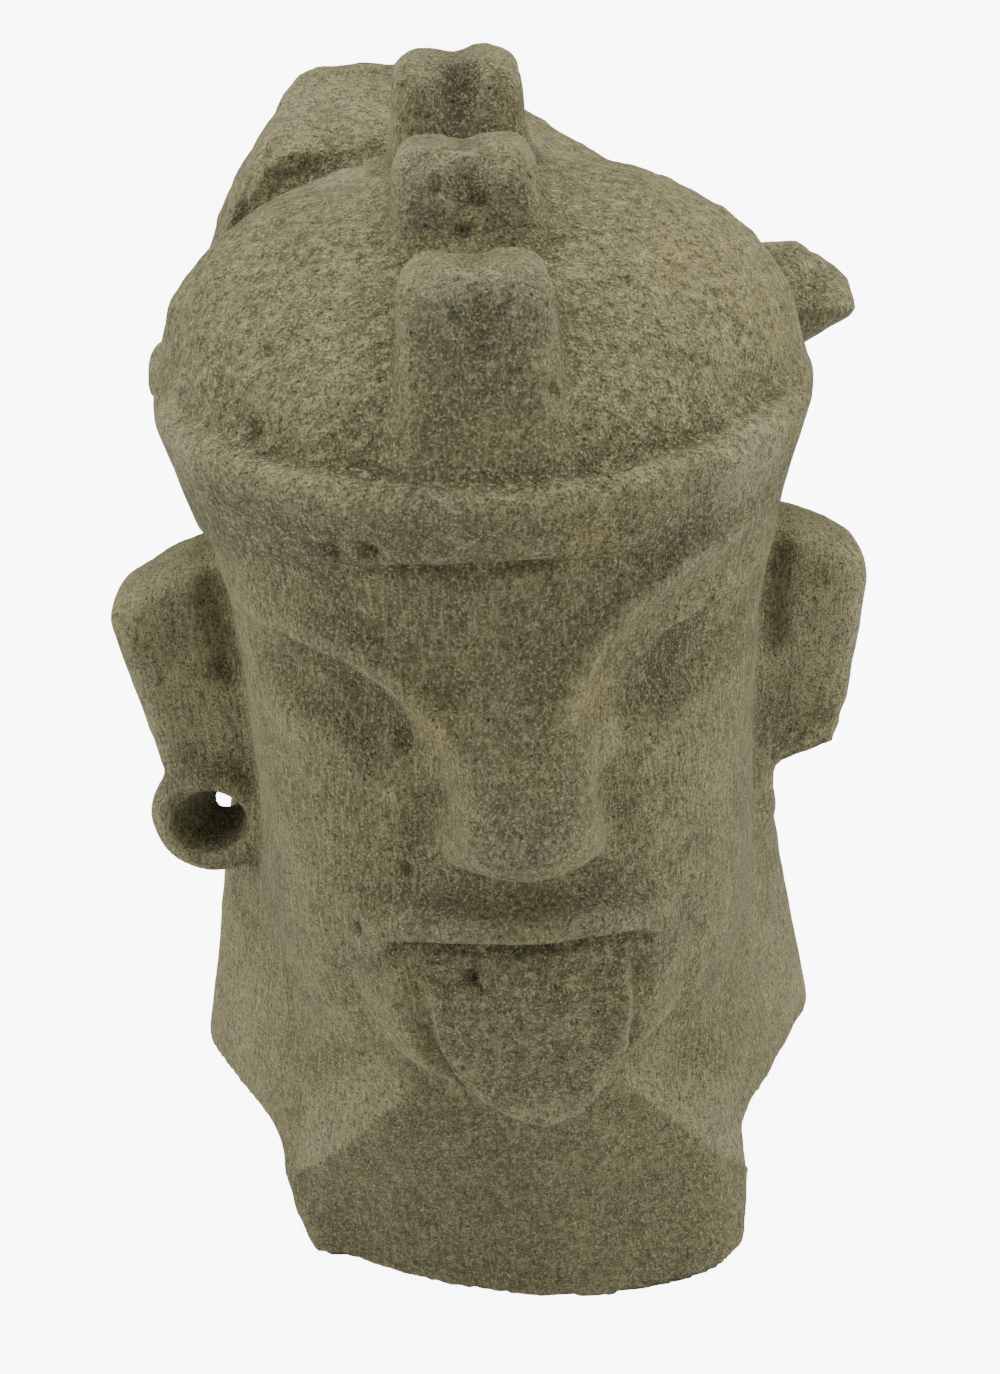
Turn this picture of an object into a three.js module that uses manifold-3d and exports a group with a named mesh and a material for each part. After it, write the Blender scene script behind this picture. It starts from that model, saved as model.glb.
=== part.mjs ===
// A carved stone deity head with a toothed crest, a cap, one pierced ear spool and a long hanging tongue.
// Millimetres. +Z is up, the face looks towards -Y, +X is the viewer's right, and z = 0 is the flat underside.
import * as THREE from "three";
import { ParametricGeometry } from "three/addons/geometries/ParametricGeometry.js";
import { mergeVertices } from "three/addons/utils/BufferGeometryUtils.js";
import Module from "manifold-3d";

const wasm = await Module();
wasm.setup();

// Skull and face, from the neck up: height, half width, depth in front of the axis, depth behind it.
const SKULL = [
  { z: 55, half: 58, front: 66, back: 66 },
  { z: 95, half: 68, front: 80, back: 76 },
  { z: 118, half: 76, front: 89, back: 80 },
  { z: 141, half: 80, front: 91, back: 83 },
  { z: 175, half: 80, front: 90, back: 84 },
  { z: 211, half: 79, front: 87, back: 85 },
  { z: 240, half: 80, front: 86, back: 86 },
  { z: 262, half: 84, front: 88, back: 87 },
  { z: 300, half: 87, front: 88, back: 88 },
];
const SKULL_POWER = 2.3;
const SKULL_TOP = 302;
const EASE = 8;

// Headband: a tapering hoop with a raised rim, whose lower edge sinks towards the back.
const CAP_X = -1.2;
const BAND = { top: 308, half: 95.5, front: 96, back: 93, power: 2.1, taper: 0.24 };
const BAND_EDGE = { atMiddle: 260, slope: 0.3, lowest: 256 };
const RIM_GROOVE = { inset: 8, z: 309, radius: 4 };

// Crown of the cap: steep at the sides, flatter above the forehead.
const CROWN = { low: 296, foot: 304, height: 56, half: 92, front: 86, back: 89 };
const CROWN_POWER = { side: 2.3, front: 1.65 };

// Crest: three teeth in a row from front to back, each with two lobes and a groove between them.
const CREST_X = -4.3;
const TEETH = [
  { y: -63, top: 357, halfTop: 15, halfDepth: 13 },
  { y: -22, top: 375, halfTop: 16, halfDepth: 13.5 },
  { y: 19, top: 389, halfTop: 15, halfDepth: 14 },
];
const TOOTH = { spread: 0.18, flare: 0.22, round: 9, reach: 56, groove: 5.5, grooveLift: 2 };
const RIDGE = { from: { y: -60, z: 346 }, to: { y: 26, z: 376 }, half: 20, deep: 26, round: 8, centre: 330 };

// Slab behind the crown, left of the crest, and the knobs that stand out below it at both sides.
const SLAB = { left: -87, right: 58, front: 42, back: 90, top: 358, rise: 0.32, bottom: 270, round: 6 };
const SLAB_BREAK = { x: 12, z: 361, slope: 0.64 };
const SHOULDER = { x: -56, z: 366, slope: 1.3, round: 16 };
const KNOB = { long: 52, halfDepth: 15, wedge: 0.4, highest: 17, round: 7 };
const KNOBS = [
  { side: -1, tip: 105, y: 52, z: 288, atTip: 9 },
  { side: 1, tip: 118, y: 51, z: 301, atTip: 7.5 },
];

// Ears: slabs that stand out sideways, with a hollow beside the face.
const EAR = { inner: 66, front: -15, back: 14, top: 254, slopeFrom: 88, slope: 0.55, round: 9, uprightAt: 240 };
const EAR_MIDDLE = { out: 91, z: 209 };
const EARS = [
  { side: -1, outer: 120, lean: 0.15, bottom: 158, heel: 0 },
  { side: 1, outer: 116, lean: 0.08, bottom: 157, heel: 0.35 },
];
const EAR_HOLLOW = { out: 89, y: -18, high: 243, low: 206, radius: 8 };

// Left ear spool: a thick ring with a funnel that narrows to a small hole.
const SPOOL = { x: -96.5, z: 159.5, radius: 19, front: -22, back: -3, round: 6 };
const FUNNEL = { x: -96, z: 160, mouth: 12, throat: 3.2, wall: 3, spread: 3, beyond: 9, through: 30 };
const STUB = { x: 80, y: -12, z: 153, half: 10, deep: 11, high: 16 };

// Neck flaps: the sides of the hair, sharp outwards at half depth, with a flat sole above the base.
const FLAP = { left: 118, right: 115, y: 10, z: 42, reach: 0.84, forward: 0.52, up: 0.165, rear: 0.46 };
const FLAP_ENDS = { top: 168, front: 64, back: 66, round: 12 };
const SOLE = { z: 43, round: 3, left: 78.5, leftSpread: 0.2, right: 73, rightSpread: 0.04 };

// Base: a block with a bulging front, turned a little, whose top edge is a gable under the tongue.
const BASE = { x: -4.5, y: -51.5, half: 82, bulge: 33.5, power: 1.92, turn: 0.218, straightBy: 70 };
const BASE_REAR = { x: -3, front: -42, back: 62, half: 77, round: 12 };
const TAPER = { slope: 0.08, to: 45 };
const RIM = { height: 25, spread: 0.45 };
const GABLE = { top: 92, flat: 36, slope: 1.35, recede: 0.26 };
const NECK_TOP = 118;

// Face.
const NOSE = { high: [0.5, -82, 256], highRadius: 9, low: [2, -97, 209], lowRadius: 13.5, floor: 191 };
const WING = { x: 13.5, y: -90, z: 201, radius: 8.5 };
const EYES = [
  { outer: [-67, -66, 250], inner: [-27, -91, 233], outerRadius: 9, innerRadius: 11 },
  { outer: [63, -69, 251], inner: [30, -90, 237], outerRadius: 9, innerRadius: 11 },
];
const BROWS = [
  { outer: [-68, -84, 255], inner: [-22, -108, 241], radius: 25 },
  { outer: [68, -84, 257], inner: [24, -108, 243], radius: 25 },
];
const LIP = [
  { at: [-41, -77, 147], radius: 4 },
  { at: [-39, -79, 167], radius: 6 },
  { at: [-16, -89, 175], radius: 6.5 },
  { at: [18, -89, 175], radius: 6.5 },
  { at: [41, -78, 165], radius: 6 },
  { at: [43, -75, 142], radius: 4 },
];
const TONGUE = { x: 2, tipX: 4.5, half: 28.5, straight: 131, tip: 94, top: 172, front: 97, root: 60, bow: 5 };
const TONGUE_EDGE = 12;

// Soft edges where forms run into each other.
const SOFT = 6;
const SLIGHT = 3;

// Facets.
const HEAD_COLUMNS = 62;
const FRONT_CLOSER = 0.5;
const HEIGHTS = [
  { to: -8, rows: 1 },
  { to: 92, rows: 12 },
  { to: 262, rows: 26 },
  { to: 303, rows: 7 },
];
const FAN = { z: 250, from: 0.56, rows: 12 };
const ROUND_SIDES = 20;
const MESHES = {
  tooth: { size: [34, 32, 56], pieces: [6, 5, 6] },
  ridge: { size: [40, 100, 44], pieces: [4, 6, 3] },
  slab: { size: [144, 48, 100], pieces: [9, 3, 7] },
  knob: { size: [52, 30, 30], pieces: [5, 4, 4] },
  ear: { size: [50, 28, 98], pieces: [6, 3, 10] },
  stub: { size: [20, 22, 32], pieces: [3, 3, 4] },
};
const FLOOR = { wide: 400, deep: 40 };
const CAREFUL = 0.45;
const FINE = 0.02;
const TINY = 1e-3;

const { abs, cos, hypot, max, min, pow, sin, PI } = Math;

// Smooth union, cut and intersection of two signed distances, with a fillet of the given size.
function join(a, b, soft) {
  const near = max(soft - abs(a - b), 0) / soft;
  return min(a, b) - (near * near * soft) / 4;
}
const common = (a, b, soft) => -join(-a, -b, soft);
const cut = (a, b, soft) => common(a, -b, soft);

// A value read between levels, averaged over a short height so that the profile has no kink.
function between(levels, z, key) {
  const read = (h) => {
    const i = levels.findIndex((level) => level.z > h);
    if (i === 0) return levels[0][key];
    if (i < 0) return levels[levels.length - 1][key];
    const [low, high] = [levels[i - 1], levels[i]];
    return low[key] + ((high[key] - low[key]) * (h - low.z)) / (high.z - low.z);
  };
  return (read(z - EASE) + 2 * read(z) + read(z + EASE)) / 4;
}

// Distance to a rounded plan outline with its own depth in front and behind.
function outline(x, y, half, front, back, power) {
  const k = pow(pow(abs(x) / half, power) + pow(abs(y) / (y < 0 ? front : back), power), 1 / power);
  const out = hypot(x, y) + TINY;
  return out - out / (k + TINY / half);
}

// Distance to a box with rounded edges: offsets from its middle and its half sizes.
function block(dx, dy, dz, hx, hy, hz, round) {
  const [qx, qy, qz] = [abs(dx) - hx + round, abs(dy) - hy + round, abs(dz) - hz + round];
  return hypot(max(qx, 0), max(qy, 0), max(qz, 0)) + min(max(qx, qy, qz), 0) - round;
}

// Distance to a rod whose radius changes evenly from one end to the other.
function rod(x, y, z, a, b, ra, rb) {
  const d = [b[0] - a[0], b[1] - a[1], b[2] - a[2]];
  const along = (x - a[0]) * d[0] + (y - a[1]) * d[1] + (z - a[2]) * d[2];
  const t = min(max(along / (d[0] * d[0] + d[1] * d[1] + d[2] * d[2]), 0), 1);
  return hypot(x - a[0] - t * d[0], y - a[1] - t * d[1], z - a[2] - t * d[2]) - ra - t * (rb - ra);
}

// Distance to an egg of three radii, short of the true one along its longer axes.
function egg(dx, dy, dz, rx, ry, rz) {
  return (hypot(dx / rx, dy / ry, dz / rz) - 1) * min(rx, ry, rz);
}

function skull(x, y, z) {
  const [half, front, back] = ["half", "front", "back"].map((key) => between(SKULL, z, key));
  const side = outline(x, y, half, front, back, SKULL_POWER);
  return common(common(side, z - SKULL_TOP, SLIGHT), SKULL[0].z - z, SLIGHT);
}

function headband(wide, y, z) {
  const x = wide - CAP_X;
  const down = (BAND.top - z) * BAND.taper;
  const side = outline(x, y, BAND.half - down, BAND.front - down, BAND.back - down, BAND.power);
  const edge = max(BAND_EDGE.atMiddle - BAND_EDGE.slope * y, BAND_EDGE.lowest);
  const hoop = common(common(side, z - BAND.top, SOFT), edge - z, SLIGHT);
  const inset = RIM_GROOVE.inset;
  const ring = outline(x, y, BAND.half - inset, BAND.front - inset, BAND.back - inset, BAND.power);
  return cut(hoop, hypot(ring, z - RIM_GROOVE.z) - RIM_GROOVE.radius, SLIGHT);
}

function crown(wide, y, z) {
  const x = wide - CAP_X;
  const ahead = pow(max(-y, 0) / (hypot(x, y) + 1), 2);
  const power = CROWN_POWER.side + (CROWN_POWER.front - CROWN_POWER.side) * ahead;
  const side = pow(hypot(x / CROWN.half, y / (y < 0 ? CROWN.front : CROWN.back)), power);
  const up = max(z - CROWN.foot, 0) / CROWN.height;
  const k = pow(side + pow(up, power), 1 / power);
  const out = hypot(x, y, max(z - CROWN.foot, 0)) + TINY;
  return common(out - out / (k + TINY / CROWN.half), CROWN.low - z, SLIGHT);
}

// The slanting front of a neck flap, from the jaw out to its edge.
function flapFront(x, y, z) {
  const dx = abs(x) - (x < 0 ? FLAP.left : FLAP.right);
  return FLAP.reach * dx - FLAP.forward * (y - FLAP.y) + FLAP.up * (z - FLAP.z);
}

function flaps(x, y, z) {
  const dx = abs(x) - (x < 0 ? FLAP.left : FLAP.right);
  const { top, front, back, round } = FLAP_ENDS;
  const rear = FLAP.reach * dx + FLAP.rear * (y - FLAP.y) + FLAP.up * (z - FLAP.z);
  const inset = abs(x) - (x < 0 ? SOLE.left + SOLE.leftSpread * z : SOLE.right + SOLE.rightSpread * z);
  const under = join(SOLE.z - z, inset, SOFT);
  const ends = common(common(z - top, y - back, round), -y - front, round);
  return common(common(common(flapFront(x, y, z), rear, round), under, SOLE.round), ends, round);
}

function base(x, y, z) {
  const turn = BASE.turn * max(1 - z / BASE.straightBy, 0);
  const [dx, dy] = [x - BASE.x, y - BASE.y];
  const across = dx * cos(turn) - dy * sin(turn);
  const ahead = -dx * sin(turn) - dy * cos(turn);
  const gable = GABLE.top - GABLE.slope * max(abs(x - BASE.x) - GABLE.flat, 0);
  const narrow = TAPER.slope * min(z, TAPER.to);
  const deep = BASE.bulge - narrow;
  const bulge = outline(across, -max(ahead, 0), BASE.half - narrow, deep, deep, BASE.power);
  const front = common(bulge + GABLE.recede * max(z - gable, 0), -ahead - BASE.bulge, SLIGHT);
  const [middle, long] = [(BASE_REAR.back + BASE_REAR.front) / 2, (BASE_REAR.back - BASE_REAR.front) / 2];
  const rear = block(x - BASE_REAR.x, y - middle, z, BASE_REAR.half, long, SKULL[0].z, BASE_REAR.round);
  const shoulder = flapFront(x, y, z) - max(RIM.height - z, 0) * RIM.spread;
  return common(common(join(front, rear, SOFT), z - NECK_TOP, SOFT), shoulder, SOFT);
}

function tongue(x, y, z) {
  const low = max(TONGUE.straight - z, 0) / (TONGUE.straight - TONGUE.tip);
  const dx = x - TONGUE.x - (TONGUE.tipX - TONGUE.x) * low;
  const rim = (hypot(dx / TONGUE.half, low) - 1) * TONGUE.half;
  const bow = TONGUE.bow * pow(dx / TONGUE.half, 2);
  const faceOn = common(rim, -y - TONGUE.front + bow, TONGUE_EDGE);
  return common(common(faceOn, z - TONGUE.top, SLIGHT), y + TONGUE.root, SLIGHT);
}

function nose(x, y, z) {
  const ridge = rod(x, y, z, NOSE.high, NOSE.low, NOSE.highRadius, NOSE.lowRadius);
  const wing = hypot(abs(x - NOSE.low[0]) - WING.x, y - WING.y, z - WING.z) - WING.radius;
  return common(join(ridge, wing, SOFT), NOSE.floor - z, SOFT);
}

function lip(x, y, z) {
  const runs = LIP.slice(1).map((end, i) => rod(x, y, z, LIP[i].at, end.at, LIP[i].radius, end.radius));
  return min(...runs);
}

// The head without its crest, slab, roll and ears.
function headForm(x, y, z) {
  let form = join(join(skull(x, y, z), flaps(x, y, z), FLAP_ENDS.round), base(x, y, z), SOFT);
  for (const { outer, inner, radius } of BROWS) {
    form = cut(form, rod(x, y, z, outer, inner, radius, radius), SLIGHT);
  }
  for (const { outer, inner, outerRadius, innerRadius } of EYES) {
    form = cut(form, rod(x, y, z, outer, inner, outerRadius, innerRadius), SOFT);
  }
  form = join(form, nose(x, y, z), SOFT * 2);
  form = join(join(form, lip(x, y, z), SOFT), tongue(x, y, z), SLIGHT);
  form = join(form, headband(x, y, z), SLIGHT / 2);
  return join(form, crown(x, y, z), SLIGHT);
}

function toothForm({ y: middle, top, halfTop, halfDepth }) {
  return (x, y, z) => {
    const below = top - z;
    const halfWidth = halfTop + TOOTH.spread * max(below, 0);
    const depth = halfDepth + TOOTH.flare * max(below, 0);
    const dz = z - top + TOOTH.reach / 2;
    const body = block(x - CREST_X, y - middle, dz, halfWidth, depth, TOOTH.reach / 2, TOOTH.round);
    const groove = hypot(x - CREST_X, z - top - TOOTH.grooveLift) - TOOTH.groove;
    return cut(body, groove, SOFT);
  };
}

function ridgeForm(x, y, z) {
  const { from, to, deep } = RIDGE;
  const top = from.z + ((to.z - from.z) * (y - from.y)) / (to.y - from.y);
  const [middle, long] = [(from.y + to.y) / 2, (to.y - from.y) / 2 + RIDGE.round];
  return block(x - CREST_X, y - middle, z - top + deep, RIDGE.half, long, deep, RIDGE.round);
}

function slabForm(x, y, z) {
  const roof = z - SLAB.top - SLAB.rise * (y - SLAB.front);
  const slant = (SHOULDER.slope * (SHOULDER.x - x) + z - SHOULDER.z) / hypot(SHOULDER.slope, 1);
  const broken = (SLAB_BREAK.slope * (x - SLAB_BREAK.x) + z - SLAB_BREAK.z) / hypot(SLAB_BREAK.slope, 1);
  const right = common(x - SLAB.right, broken, SLAB.round);
  const sides = common(common(SLAB.left - x, slant, SHOULDER.round), right, SLAB.round);
  const depth = abs(y - (SLAB.front + SLAB.back) / 2) - (SLAB.back - SLAB.front) / 2;
  return common(common(sides, depth, SLAB.round), common(roof, SLAB.bottom - z, SLAB.round), SLAB.round);
}

// A knob that grows higher from its tip towards the head.
function knobForm({ side, tip, y: middle, z: height, atTip }) {
  return (x, y, z) => {
    const inward = tip - side * x;
    const high = min(atTip + KNOB.wedge * inward, KNOB.highest);
    const dx = inward - KNOB.long / 2;
    return block(dx, y - middle, z - height, KNOB.long / 2, KNOB.halfDepth, high, KNOB.round);
  };
}

function earForm({ side, outer, lean, bottom, heel }) {
  return (x, y, z) => {
    const out = side * x;
    const wide = (outer - EAR.inner) / 2;
    const [dx, dy] = [out - EAR.inner - wide - lean * (z - EAR.uprightAt), y - (EAR.front + EAR.back) / 2];
    const dz = z - (EAR.top + bottom) / 2;
    const slab = block(dx, dy, dz, wide, (EAR.back - EAR.front) / 2, (EAR.top - bottom) / 2, EAR.round);
    const roof = (EAR.slope * (out - EAR.slopeFrom) + z - EAR.top) / hypot(EAR.slope, 1);
    const { y: deep, high, low, radius } = EAR_HOLLOW;
    const hollow = rod(out, y, z, [EAR_HOLLOW.out, deep, high], [EAR_HOLLOW.out, deep, low], radius, radius);
    const sole = (bottom - z + heel * (out - EAR.inner)) / hypot(heel, 1);
    return cut(common(common(slab, roof, EAR.round), sole, SLIGHT), hollow, SLIGHT);
  };
}

const stubForm = (x, y, z) => egg(x - STUB.x, y - STUB.y, z - STUB.z, STUB.half, STUB.deep, STUB.high);

// The point at which a ray from inside the form comes out of it.
function surfacePoint(form, from, way, target) {
  let t = 0;
  let gap = Infinity;
  while (gap > FINE) {
    gap = -form(from[0] + t * way[0], from[1] + t * way[1], from[2] + t * way[2]);
    t += max(gap * CAREFUL, 0);
  }
  return target.set(from[0] + t * way[0], from[1] + t * way[1], from[2] + t * way[2]);
}

// The same surface with positions alone, and each shared point stored once.
function bare(geometry) {
  geometry.deleteAttribute("normal");
  geometry.deleteAttribute("uv");
  return mergeVertices(geometry, 1e-3);
}

// A closed surface as a manifold solid, without the slivers at its poles.
function solid(geometry) {
  const merged = bare(geometry);
  const corners = [...merged.index.array];
  const whole = corners.filter((_, i) => {
    const [a, b, c] = corners.slice(i - (i % 3), i - (i % 3) + 3);
    return a !== b && b !== c && a !== c;
  });
  const made = new wasm.Manifold(
    new wasm.Mesh({
      numProp: 3,
      vertProperties: new Float32Array(merged.attributes.position.array),
      triVerts: new Uint32Array(whole),
    }),
  );
  return made;
}

// Where each row of the main block starts on the axis, and how far its rays tilt up.
function headRows() {
  const rows = [{ z: HEIGHTS[0].to, tilt: -PI / 2 }];
  let z = HEIGHTS[0].to;
  for (const { to, rows: count } of HEIGHTS) {
    for (let i = 1; i <= count; i++) rows.push({ z: z + ((to - z) * i) / count, tilt: 0 });
    z = to;
  }
  const open = PI / 2 - FAN.from;
  for (let i = 0; i <= FAN.rows; i++) rows.push({ z: FAN.z, tilt: FAN.from + (open * i) / FAN.rows });
  return rows;
}

// The main block: rows of rays go up the axis, then fan over the cap to its top.
function mainBlock() {
  const rows = headRows();
  const last = rows.length - 1;
  const grounded = (x, y, z) => headForm(x, y, max(z, 0));
  const surface = (u, v, target) => {
    const index = Math.round(v * last);
    const { z, tilt } = rows[index];
    if (index === 0) return target.set(0, 0, z);
    const t = 2 * (u % 1) - 1;
    const turn = PI * (t - (FRONT_CLOSER * sin(PI * t)) / PI);
    const level = index === last ? 0 : cos(tilt);
    return surfacePoint(grounded, [0, 0, z], [level * sin(turn), -level * cos(turn), sin(tilt)], target);
  };
  return solid(new ParametricGeometry(surface, HEAD_COLUMNS, last));
}

// A smaller form: the points of a box that are moved in or out, along rays from its middle, to the form.
function lump(form, [x, y, z], { size, pieces }) {
  const geometry = bare(new THREE.BoxGeometry(...size, ...pieces));
  const points = geometry.attributes.position;
  const [point, way] = [new THREE.Vector3(), new THREE.Vector3()];
  for (let i = 0; i < points.count; i++) {
    way.fromBufferAttribute(points, i).normalize();
    surfacePoint(form, [x, y, z], way.toArray(), point);
    points.setXYZ(i, point.x, point.y, point.z);
  }
  return solid(geometry);
}

// A turned piece whose axis runs from front to back through the ear spool.
function turned(profile, x, z) {
  const points = profile.map(([radius, y]) => new THREE.Vector2(radius, y));
  return solid(new THREE.LatheGeometry(points, ROUND_SIDES).translate(x, 0, z));
}

function spool() {
  const { radius, front, back, round } = SPOOL;
  const corner = (part, end, inward) => {
    const turn = (part * PI) / 2;
    return [radius - round + round * sin(turn), end + inward * round * (1 - cos(turn))];
  };
  const fore = [0, 1 / 3, 2 / 3, 1].map((part) => corner(part, front, 1));
  const rear = [1, 2 / 3, 1 / 3, 0].map((part) => corner(part, back, -1));
  return turned([[0, front], ...fore, ...rear, [0, back]], SPOOL.x, SPOOL.z);
}

// The funnel of the spool, to be cut out.
function funnel() {
  const { front, back } = SPOOL;
  const { mouth, throat, wall, spread, beyond, through } = FUNNEL;
  const outside = [[0, front - beyond], [mouth + spread, front - beyond], [mouth, front]];
  const inside = [[throat, back - wall], [throat, through], [0, through]];
  return turned([...outside, ...inside], FUNNEL.x, FUNNEL.z);
}

const slabMiddle = [(SLAB.left + SLAB.right) / 2, (SLAB.front + SLAB.back) / 2, (SLAB.bottom + SLAB.top) / 2];
const pieces = [
  ...TEETH.map((tooth) => {
    return lump(toothForm(tooth), [CREST_X, tooth.y, tooth.top - TOOTH.reach / 2], MESHES.tooth);
  }),
  lump(ridgeForm, [CREST_X, (RIDGE.from.y + RIDGE.to.y) / 2, RIDGE.centre], MESHES.ridge),
  lump(slabForm, slabMiddle, MESHES.slab),
  ...KNOBS.map((knob) => {
    return lump(knobForm(knob), [knob.side * (knob.tip - KNOB.long / 2), knob.y, knob.z], MESHES.knob);
  }),
  ...EARS.map((ear) => lump(earForm(ear), [ear.side * EAR_MIDDLE.out, 0, EAR_MIDDLE.z], MESHES.ear)),
  lump(stubForm, [STUB.x, STUB.y, STUB.z], MESHES.stub),
  spool(),
];
let head = mainBlock();
for (const piece of pieces) head = head.add(piece);
head = head.subtract(funnel());
const below = new THREE.BoxGeometry(FLOOR.wide, FLOOR.wide, FLOOR.deep).translate(0, 0, -FLOOR.deep / 2);
head = head.subtract(solid(below));

const result = head.getMesh();
const stone = new THREE.BufferGeometry();
stone.setAttribute("position", new THREE.BufferAttribute(result.vertProperties, 3));
stone.setIndex(new THREE.BufferAttribute(result.triVerts, 1));
stone.computeVertexNormals();
const finish = new THREE.MeshStandardMaterial({ color: 0x706b50, roughness: 0.92, metalness: 0 });
const mesh = new THREE.Mesh(stone, finish);
mesh.name = "stone_head";

const group = new THREE.Group();
group.add(mesh);
export default group;
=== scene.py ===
"""The looks of a carved stone deity head, built round its CAD frame.

The stone is worked out as one signed distance (negative inside, in millimetres) from named sizes, meshed finely,
worn, and given a procedural stone material. Objects are in metres, in the CAD frame.
"""
import math

import bpy
import numpy as np
from mathutils import Matrix, Vector


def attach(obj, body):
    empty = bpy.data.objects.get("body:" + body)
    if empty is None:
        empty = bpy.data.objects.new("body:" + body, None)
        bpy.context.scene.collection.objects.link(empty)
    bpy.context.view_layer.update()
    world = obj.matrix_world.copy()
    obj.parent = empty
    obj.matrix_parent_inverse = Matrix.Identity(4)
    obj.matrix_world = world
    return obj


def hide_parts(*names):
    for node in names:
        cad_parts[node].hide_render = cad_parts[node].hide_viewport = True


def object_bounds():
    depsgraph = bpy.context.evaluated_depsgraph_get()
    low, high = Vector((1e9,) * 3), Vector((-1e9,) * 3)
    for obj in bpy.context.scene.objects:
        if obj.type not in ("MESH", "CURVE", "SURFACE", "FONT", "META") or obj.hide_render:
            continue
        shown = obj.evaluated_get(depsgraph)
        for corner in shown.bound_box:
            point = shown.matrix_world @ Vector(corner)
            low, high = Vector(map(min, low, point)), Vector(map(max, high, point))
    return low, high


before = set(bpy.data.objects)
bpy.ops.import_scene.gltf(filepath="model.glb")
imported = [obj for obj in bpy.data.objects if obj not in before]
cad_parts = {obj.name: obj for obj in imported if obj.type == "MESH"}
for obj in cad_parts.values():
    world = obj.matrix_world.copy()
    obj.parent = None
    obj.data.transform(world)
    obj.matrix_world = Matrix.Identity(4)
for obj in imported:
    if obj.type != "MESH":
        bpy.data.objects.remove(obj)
cad_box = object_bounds()

MM = 0.001

# Skull and face: height, half width, depth in front of the axis, depth behind it.
SKULL = np.array([
    (55, 58, 66, 66), (95, 68, 80, 76), (118, 76, 89, 80), (141, 80, 91, 83), (175, 80, 90, 84),
    (211, 79, 87, 85), (240, 80, 86, 86), (262, 84, 88, 87), (300, 87, 88, 88),
], float)
SKULL_POWER = 2.3
SKULL_TOP = 302
EASE = 8

# Cap: a tapering headband with a raised rim, and a crown above it.
CAP_X = -1.2
BAND = dict(top=310, half=96.5, front=97, back=93, power=2.1, taper=0.24, round=13)
BAND_EDGE = dict(at_middle=260, slope=0.3, lowest=256)
RIM_GROOVE = dict(half=87, front=87, back=85, plan_power=1.85, z=311, radius=5)
CROWN = dict(
    low=296, foot=304, height=57, half=92, front=87, back=89, side_power=2.3, front_power=1.65, plan_power=1.85,
)

# Crest: three teeth with two lobes each, on a ridge.
CREST_X = -4.3
TEETH = [
    dict(y=-63, top=356, half=18.5, deep=13),
    dict(y=-22, top=374, half=18.5, deep=13.5),
    dict(y=19, top=388, half=17.5, deep=14),
]
TOOTH = dict(spread=0.08, flare=0.22, round=7, reach=56, groove=5, groove_lift=3, slit=24, slit_radius=8)
RIDGE = dict(y0=-66, z0=341, y1=26, z1=374, half=18, spread=0.17, deep=26, round=8)

# Slab behind the crown, with a broken right part, and the knobs below it.
SLAB = dict(left=-87, right=58, front=42, back=90, top=358, rise=0.32, bottom=270, round=6)
SLAB_BREAK = dict(x=12, z=361, slope=0.64)
SHOULDER = dict(x=-56, z=366, slope=1.3, round=16)
KNOB_LONG = 52
KNOB_POWER = 1.5
KNOBS = [
    dict(side=-1, tip=105, y=50, z=288, at_tip=9, wedge=0.5, highest=17, half_depth=15),
    dict(side=1, tip=118.5, y=50, z=302, at_tip=6, wedge=0.7, highest=19, half_depth=16),
]

# Ears, the left spool with its funnel, and the stump of the right one.
EAR = dict(inner=66, front=-15, back=14, top=254, slope_from=88, slope=0.55, round=8, upright_at=240)
EARS = [
    dict(side=-1, outer=120, lean=0.15, bottom=173, heel=0),
    dict(side=1, outer=116, lean=0.08, bottom=157, heel=0.35),
]
EAR_HOLLOW = dict(out=83, y=-19, high=247, low=216, radius=7.5)
SPOOL = dict(x=-95.5, z=160.5, radius=20.5, front=-22, back=-3, round=10)
FUNNEL = dict(mouth_x=-96.5, mouth_z=163, throat_x=-91.3, throat_z=160.5, mouth=12.5, throat=4.4, wall=2.2)
STUMP = dict(x=80, y=-12, z=153, half=10, deep=11, high=16)

# Neck flaps and base.
FLAP = dict(left=118, right=115, y=10, z=42, reach=0.84, forward=0.52, up=0.165, rear=0.46)
FLAP_ENDS = dict(top=168, front=64, back=66, round=12)
SOLE = dict(z=43, round=3, left=78.5, left_spread=0.2, right=73, right_spread=0.04)
BASE = dict(x=-4.5, y=-51.5, half=82, bulge=33.5, power=1.92, turn=0.218, straight_by=70)
BASE_REAR = dict(x=-3, front=-42, back=62, half=77, round=12)
TAPER = dict(slope=0.08, to=45)
RIM = dict(height=25, spread=0.45)
GABLE = dict(top=91, flat=36, slope=1.35, recede=0.7, lip=1.2, lip_width=3)
NECK_TOP = 118

# Face forms.
NOSE = dict(high=(2.5, -76.5, 262), high_radius=12, low=(2, -94.5, 209), low_radius=16, wide=1.3, floor=190)
WING = dict(x=14.5, y=-89, z=200, radius=8.5)
TONGUE = dict(x=2, tip_x=4.5, half=28.5, straight=131, tip=93, top=166, front=98, root=60, bow=4, drawn_in=8)
TONGUE_DRAWN_IN = (136, 166)
TONGUE_EDGE = 4
NOSE_FOOT = 7
SOFT = 6
SLIGHT = 3
FULLER = 0.9
FLOOR_EDGE = 2.5

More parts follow.
